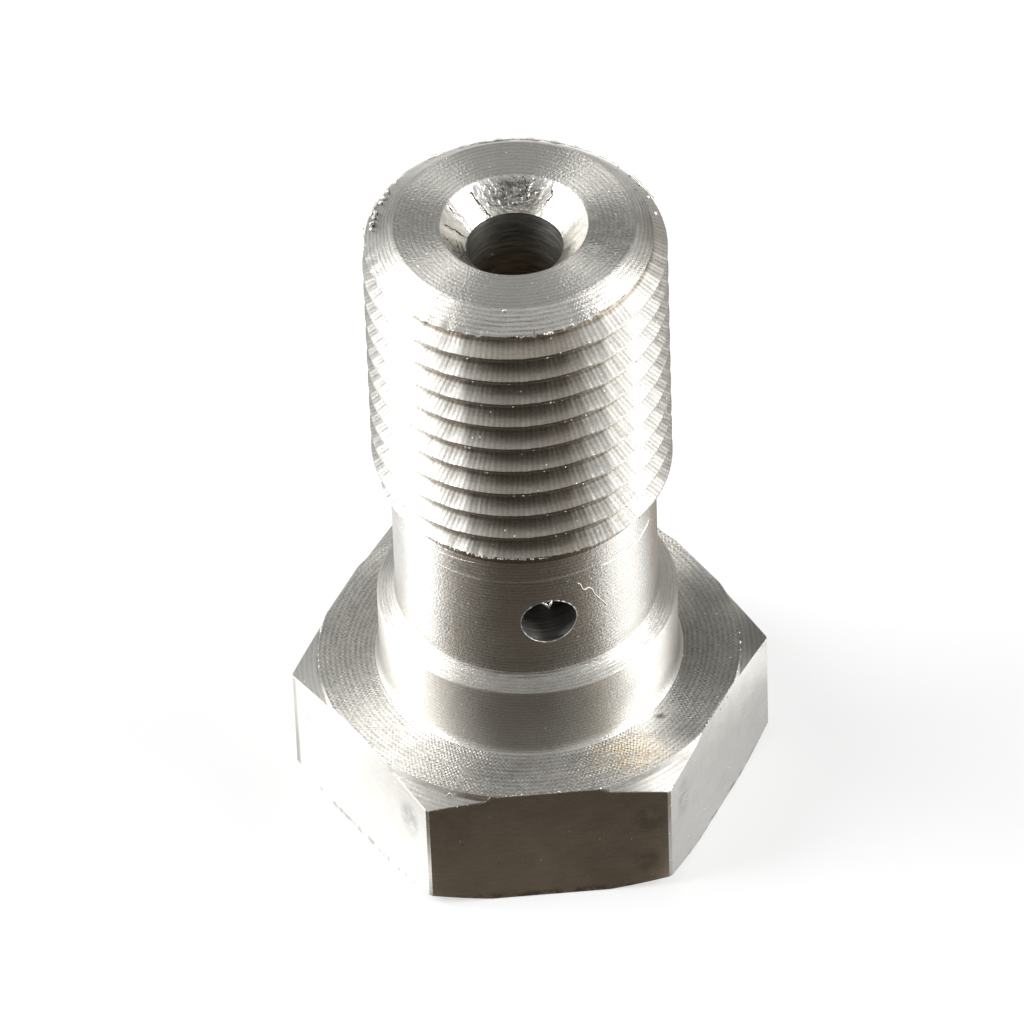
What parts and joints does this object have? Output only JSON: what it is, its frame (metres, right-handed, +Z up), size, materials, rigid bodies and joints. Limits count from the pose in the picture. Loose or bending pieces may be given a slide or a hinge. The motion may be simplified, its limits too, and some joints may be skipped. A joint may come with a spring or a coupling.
{
  "type": "banjo bolt",
  "caption": "Hollow hexagon-head banjo bolt: turned seat and collar, relieved neck with a cross hole, fine-threaded end with a chamfered tip and a countersunk axial bore.",
  "frame": {"origin": "centre of the head's end face, on the bolt's axis, where it stands on its head", "axes": "+Z up the axis from the head to the threaded tip; -Y is the outward normal of the front flat of the hexagon; two of its corners lie on the X axis"},
  "size_m": [0.016, 0.0138, 0.0241],
  "materials": {
    "steel": "bare turned steel with fine tool rings, drawn hexagon flats"
  },
  "bodies": {
    "root": {"banjo_bolt": "steel"}
  },
  "joints": []
}
